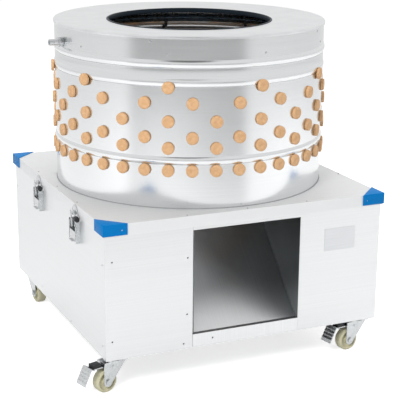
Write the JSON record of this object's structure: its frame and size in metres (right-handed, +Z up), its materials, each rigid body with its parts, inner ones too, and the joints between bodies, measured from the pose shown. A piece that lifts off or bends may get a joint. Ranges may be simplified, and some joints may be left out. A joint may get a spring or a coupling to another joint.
{
  "type": "poultry plucker",
  "caption": "Tub poultry plucker: steel drum lined with rubber fingers over a turning finger plate, on a square base box with feather chute and swivel casters.",
  "frame": {"origin": "on the floor under the middle of the machine, on the drum axis", "axes": "+Z up along the drum axis, -Y towards the front face with the chute, -X towards the side with the latches and the water inlet"},
  "size_m": [0.9965, 0.8715, 0.966],
  "materials": {
    "stainless": "brushed",
    "stainless_sheet": "satin",
    "frame_tube": "mill",
    "zinc": "zinc plated",
    "steel_dark": "turned",
    "cast": "painted",
    "motor_paint": "satin",
    "box_paint": "satin",
    "blue_plastic": "satin",
    "tan_rubber": "matte",
    "belt_rubber": "matte",
    "wheel_plastic": "satin",
    "plate_label": "satin",
    "pipe_dark": "satin",
    "black_plastic": "satin",
    "green_plastic": "gloss",
    "red_plastic": "gloss"
  },
  "bodies": {
    "base": {"base_frame": "frame_tube", "bearing_housing": "cast", "cable_gland": "black_plastic", "caster_plates": "zinc", "catch_tray": "stainless", "chute_floor": "stainless", "chute_side_walls": "stainless", "control_box": "box_paint", "control_cover": "box_paint", "drive_bearings": "steel_dark", "front_left_panel": "stainless_sheet", "front_right_panel": "stainless_sheet", "hinge_lower_leaves": "zinc", "latch_bases": "zinc", "left_side_panel": "stainless_sheet", "machine_bolts": "zinc", "motor": "motor_paint", "motor_mount": "frame_tube", "panel_screws": "zinc", "rating_plate": "plate_label", "rear_panel": "stainless_sheet", "right_side_panel": "stainless_sheet", "v_belts": "belt_rubber"},
    "plate_rotor": {"drive_shaft": "steel_dark", "driven_pulley": "cast", "feather_plate": "stainless", "plate_hub": "steel_dark", "plate_fingers": "tan_rubber", "plate_bolts": "zinc"},
    "motor_rotor": {"motor_shaft": "steel_dark", "motor_pulley": "cast"},
    "drum_unit": {"deck": "stainless_sheet", "corner_guards": "blue_plastic", "unit_rivets": "stainless", "drum_shell": "stainless_sheet", "drum_fingers": "tan_rubber", "top_ring": "stainless_sheet", "mouth_trim": "black_plastic", "spray_ring": "pipe_dark", "spray_nozzles": "pipe_dark", "water_inlet": "stainless", "hinge_upper_leaves": "zinc", "latch_keepers": "zinc"},
    "front_lever": {"front_latch_lever": "zinc"},
    "rear_lever": {"rear_latch_lever": "zinc"},
    "front_bail": {"front_latch_bail": "zinc"},
    "rear_bail": {"rear_latch_bail": "zinc"},
    "start_button": {"start_button": "green_plastic"},
    "stop_button": {"stop_button": "red_plastic"},
    "front_left_caster": {"front_left_fork": "zinc"},
    "front_left_roller": {"front_left_wheel": "wheel_plastic"},
    "front_left_brake": {"front_left_pedal": "zinc"},
    "front_right_caster": {"front_right_fork": "zinc"},
    "front_right_roller": {"front_right_wheel": "wheel_plastic"},
    "front_right_brake": {"front_right_pedal": "zinc"},
    "rear_left_caster": {"rear_left_fork": "zinc"},
    "rear_left_roller": {"rear_left_wheel": "wheel_plastic"},
    "rear_right_caster": {"rear_right_fork": "zinc"},
    "rear_right_roller": {"rear_right_wheel": "wheel_plastic"}
  },
  "joints": [
    {"name": "drum_tilt", "type": "hinge", "parent": "base", "child": "drum_unit", "pos_m": [0.438, 0, 0.455], "axis": [0, 1, 0], "range_deg": [0, 60]},
    {"name": "plate_spin", "type": "hinge", "parent": "base", "child": "plate_rotor", "pos_m": [0, 0, 0.45], "axis": [0, 0, 1], "continuous": true},
    {"name": "motor_spin", "type": "hinge", "parent": "base", "child": "motor_rotor", "pos_m": [0, 0.25, 0.2], "axis": [0, 0, 1], "continuous": true},
    {"name": "front_latch_open", "type": "hinge", "parent": "base", "child": "front_lever", "pos_m": [-0.437, -0.198, 0.432], "axis": [0, 1, 0], "range_deg": [0, 75]},
    {"name": "front_bail_swing", "type": "hinge", "parent": "front_lever", "child": "front_bail", "pos_m": [-0.43505, -0.198, 0.41814], "axis": [0, 1, 0], "range_deg": [-105, 0]},
    {"name": "rear_latch_open", "type": "hinge", "parent": "base", "child": "rear_lever", "pos_m": [-0.437, 0.152, 0.432], "axis": [0, 1, 0], "range_deg": [0, 75]},
    {"name": "rear_bail_swing", "type": "hinge", "parent": "rear_lever", "child": "rear_bail", "pos_m": [-0.43505, 0.152, 0.41814], "axis": [0, 1, 0], "range_deg": [-105, 0]},
    {"name": "front_left_swivel", "type": "hinge", "parent": "base", "child": "front_left_caster", "pos_m": [-0.386, -0.386, 0.09], "axis": [0, 0, 1], "continuous": true},
    {"name": "front_left_roll", "type": "hinge", "parent": "front_left_caster", "child": "front_left_roller", "pos_m": [-0.42077, -0.39532, 0.033], "axis": [0.2588, -0.9659, 0], "continuous": true},
    {"name": "front_left_pedal_press", "type": "hinge", "parent": "front_left_caster", "child": "front_left_brake", "pos_m": [-0.40339, -0.39066, 0.076], "axis": [0.2588, -0.9659, 0], "range_deg": [0, 12]},
    {"name": "front_right_swivel", "type": "hinge", "parent": "base", "child": "front_right_caster", "pos_m": [0.386, -0.386, 0.09], "axis": [0, 0, 1], "continuous": true},
    {"name": "front_right_roll", "type": "hinge", "parent": "front_right_caster", "child": "front_right_roller", "pos_m": [0.35055, -0.39225, 0.033], "axis": [0.1736, -0.9848, 0], "continuous": true},
    {"name": "front_right_pedal_press", "type": "hinge", "parent": "front_right_caster", "child": "front_right_brake", "pos_m": [0.36827, -0.38913, 0.076], "axis": [0.1736, -0.9848, 0], "range_deg": [0, 12]},
    {"name": "rear_left_swivel", "type": "hinge", "parent": "base", "child": "rear_left_caster", "pos_m": [-0.386, 0.386, 0.09], "axis": [0, 0, 1], "continuous": true},
    {"name": "rear_left_roll", "type": "hinge", "parent": "rear_left_caster", "child": "rear_left_roller", "pos_m": [-0.38286, 0.35014, 0.033], "axis": [0.9962, 0.0872, 0], "continuous": true},
    {"name": "rear_right_swivel", "type": "hinge", "parent": "base", "child": "rear_right_caster", "pos_m": [0.386, 0.386, 0.09], "axis": [0, 0, 1], "continuous": true},
    {"name": "rear_right_roll", "type": "hinge", "parent": "rear_right_caster", "child": "rear_right_roller", "pos_m": [0.41358, 0.36286, 0.033], "axis": [0.6428, 0.766, 0], "continuous": true},
    {"name": "start_press", "type": "slide", "parent": "base", "child": "start_button", "axis": [-1, 0, 0], "range_m": [0, 0.004], "stiffness_N_per_m": 300},
    {"name": "stop_press", "type": "slide", "parent": "base", "child": "stop_button", "axis": [-1, 0, 0], "range_m": [0, 0.004], "stiffness_N_per_m": 300}
  ],
  "couplings": [
    {"joint": "motor_spin", "follows": "plate_spin", "ratio": 4},
    {"joint": "front_bail_swing", "follows": "front_latch_open", "ratio": -1.4},
    {"joint": "rear_bail_swing", "follows": "rear_latch_open", "ratio": -1.4}
  ]
}
